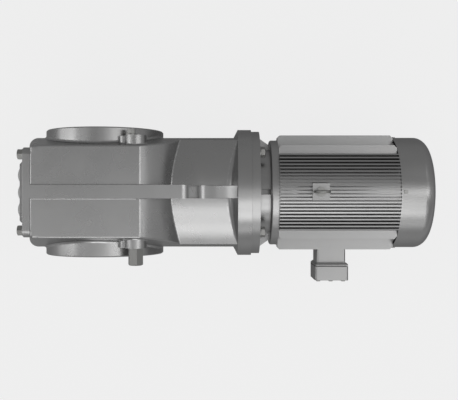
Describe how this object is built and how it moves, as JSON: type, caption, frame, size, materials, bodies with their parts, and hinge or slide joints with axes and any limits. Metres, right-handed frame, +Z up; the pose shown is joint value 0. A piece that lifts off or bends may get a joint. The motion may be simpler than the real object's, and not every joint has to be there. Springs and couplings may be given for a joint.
{
  "type": "right-angle helical-bevel gearmotor",
  "caption": "Right-angle helical-bevel gear unit on feet, with a keyed hollow output shaft and a flange-mounted finned electric motor with a terminal box.",
  "frame": {"origin": "centre of the hollow output shaft's bore, midway between the two hub faces", "axes": "+X along the motor shaft, away from the gear case; +Y along the output shaft, away from the terminal box; +Z up from the feet"},
  "size_m": [1.0102, 0.3699, 0.456],
  "materials": {
    "housing_paint": "satin grey paint on cast iron",
    "motor_paint": "satin grey paint on cast aluminium",
    "cover_paint": "satin grey paint on sheet steel",
    "bolt_steel": "zinc-plated steel",
    "shaft_steel": "turned and ground steel",
    "gear_steel": "case-hardened and ground steel",
    "bearing_steel": "polished bearing steel",
    "seal_rubber": "matt black nitrile",
    "gasket_sheet": "matt gasket sheet",
    "core_plate": "stacked electrical sheet",
    "copper_wire": "varnished copper winding",
    "fan_plastic": "black moulded plastic",
    "board_plastic": "brown moulded plastic"
  },
  "bodies": {
    "root": {"gear_case": "housing_paint", "rear_cover": "housing_paint", "rear_cover_gasket": "gasket_sheet", "rear_cover_bolts": "bolt_steel", "breather_valve": "bolt_steel", "filler_plug": "bolt_steel", "oil_level_plug": "bolt_steel", "drain_plug": "bolt_steel", "output_bearing_outer_rings": "bearing_steel", "output_circlips": "shaft_steel", "output_seal_left": "seal_rubber", "output_seal_right": "seal_rubber", "intermediate_bearing_outer_rings": "bearing_steel", "intermediate_bore_cap": "housing_paint", "pinion_bearing_outer_rings": "bearing_steel", "pinion_outer_spacer": "shaft_steel", "drive_end_shield": "motor_paint", "flange_bolts": "bolt_steel", "motor_frame": "motor_paint", "lifting_eye_bolt": "bolt_steel", "rear_end_shield": "motor_paint", "stator_core": "core_plate", "stator_windings": "copper_wire", "motor_bearing_outer_rings": "bearing_steel", "motor_shaft_seal": "seal_rubber", "fan_cover": "cover_paint", "fan_cover_screws": "bolt_steel", "terminal_box": "motor_paint", "terminal_box_gasket": "gasket_sheet", "terminal_box_lid": "motor_paint", "terminal_lid_screws": "bolt_steel", "terminal_board": "board_plastic", "cable_entry_plug": "bolt_steel"},
    "output": {"hollow_output_shaft": "shaft_steel", "output_gear": "gear_steel", "output_gear_key": "shaft_steel", "output_bearing_inner_rings": "bearing_steel"},
    "intermediate": {"intermediate_shaft": "gear_steel", "bevel_gear": "gear_steel", "bevel_gear_key": "shaft_steel", "intermediate_spacer": "shaft_steel", "intermediate_bearing_inner_rings": "bearing_steel"},
    "bevel_pinion": {"bevel_pinion_shaft": "gear_steel", "first_stage_gear": "gear_steel", "first_stage_gear_key": "shaft_steel", "pinion_shaft_nut": "shaft_steel", "pinion_bearing_inner_rings": "bearing_steel", "pinion_inner_spacer": "shaft_steel"},
    "rotor": {"rotor_shaft": "shaft_steel", "motor_pinion": "gear_steel", "rotor_core": "core_plate", "motor_bearing_inner_rings": "bearing_steel", "cooling_fan": "fan_plastic"}
  },
  "joints": [
    {"name": "output_spin", "type": "hinge", "parent": "root", "child": "output", "pos_m": [0, 0, 0], "axis": [0, 1, 0], "continuous": true},
    {"name": "intermediate_spin", "type": "hinge", "parent": "root", "child": "intermediate", "pos_m": [0.13748, 0, -0.06], "axis": [0, 1, 0], "continuous": true},
    {"name": "bevel_pinion_spin", "type": "hinge", "parent": "root", "child": "bevel_pinion", "pos_m": [0, 0, -0.06], "axis": [1, 0, 0], "continuous": true},
    {"name": "rotor_spin", "type": "hinge", "parent": "root", "child": "rotor", "pos_m": [0, 0, 0], "axis": [1, 0, 0], "continuous": true}
  ],
  "couplings": [
    {"joint": "intermediate_spin", "follows": "output_spin", "ratio": -3.1667},
    {"joint": "bevel_pinion_spin", "follows": "output_spin", "ratio": 8.2333},
    {"joint": "rotor_spin", "follows": "output_spin", "ratio": -24.7}
  ]
}
